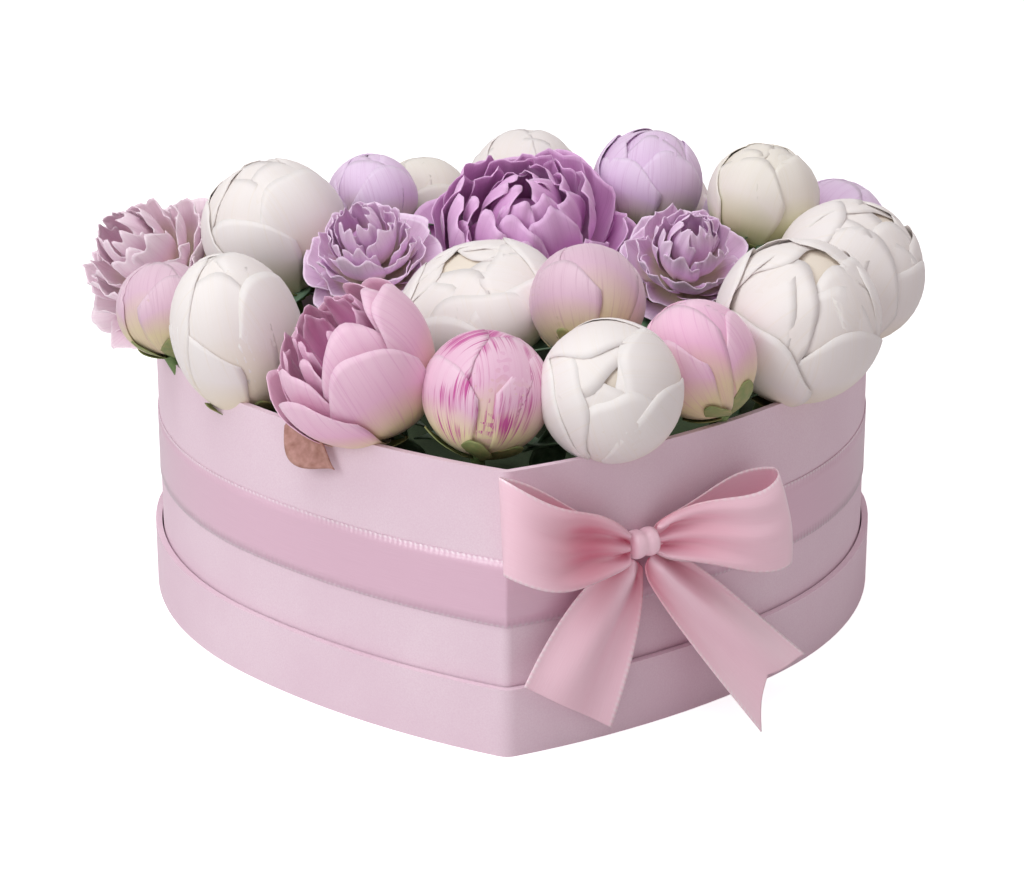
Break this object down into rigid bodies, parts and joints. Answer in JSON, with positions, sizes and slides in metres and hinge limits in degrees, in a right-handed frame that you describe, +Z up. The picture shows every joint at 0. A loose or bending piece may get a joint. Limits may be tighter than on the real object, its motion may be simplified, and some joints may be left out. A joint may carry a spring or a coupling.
{
  "type": "flower box",
  "caption": "Heart-shaped paper-covered flower box standing in its own lid, with a satin ribbon band and bow, filled with cut peonies in floral foam.",
  "frame": {"origin": "on the floor, below the middle of the heart's widest line", "axes": "+Z up, -Y towards the heart's tip, +X to the right when the tip faces the viewer"},
  "size_m": [0.3282, 0.2988, 0.1778],
  "materials": {
    "wrap_paper": "matte",
    "grey_board": "matte",
    "lining_paper": "matte",
    "satin_band": "satin",
    "satin_bow": "satin",
    "satin_knot": "satin",
    "film": "satin",
    "floral_foam": "matte",
    "leaf": "satin",
    "petal_white": "satin",
    "petal_cream": "satin",
    "petal_pink": "satin",
    "petal_mauve": "satin",
    "petal_magenta": "satin",
    "petal_striped": "satin"
  },
  "bodies": {
    "lid": {"lid_cover": "wrap_paper", "lid_panel": "grey_board", "lid_wall_left": "grey_board", "lid_wall_right": "grey_board", "lid_wrap": "wrap_paper"},
    "box": {"base_paper": "wrap_paper", "base_board": "grey_board", "box_wall_left": "grey_board", "box_wall_right": "grey_board", "box_wrap": "wrap_paper", "lining": "lining_paper", "ribbon_band": "satin_band", "bow_loop_left": "satin_bow", "bow_loop_right": "satin_bow", "bow_tail_left": "satin_bow", "bow_tail_right": "satin_bow", "bow_knot": "satin_knot"},
    "arrangement": {"film_tray": "film", "foam_left": "floral_foam", "foam_right": "floral_foam", "leaves": "leaf", "peony_cream_back": "petal_cream", "peony_cream_back_right": "petal_cream", "peony_cream_lobe_right": "petal_cream", "peony_magenta_bloom": "petal_magenta", "peony_mauve_bloom_left": "petal_mauve", "peony_mauve_bloom_right": "petal_mauve", "peony_mauve_bud_back": "petal_mauve", "peony_mauve_bud_left": "petal_mauve", "peony_mauve_lobe_right": "petal_mauve", "peony_pink_back": "petal_pink", "peony_pink_back_right": "petal_pink", "peony_pink_bud_centre": "petal_pink", "peony_pink_bud_right": "petal_pink", "peony_pink_cup_front": "petal_pink", "peony_pink_far_left": "petal_pink", "peony_pink_lobe_left": "petal_pink", "peony_striped_bud_front": "petal_striped", "peony_white_back": "petal_white", "peony_white_bloom_right": "petal_white", "peony_white_bud_front": "petal_white", "peony_white_centre": "petal_white", "peony_white_egg_left": "petal_white", "peony_white_far_right": "petal_white", "peony_white_left": "petal_white", "peony_white_lobe_left": "petal_white"}
  },
  "joints": [
    {"name": "box_lift", "type": "slide", "parent": "lid", "child": "box", "axis": [0, 0, 1], "range_m": [0, 0.05]},
    {"name": "arrangement_lift", "type": "slide", "parent": "box", "child": "arrangement", "axis": [0, 0, 1], "range_m": [0, 0.12]}
  ]
}
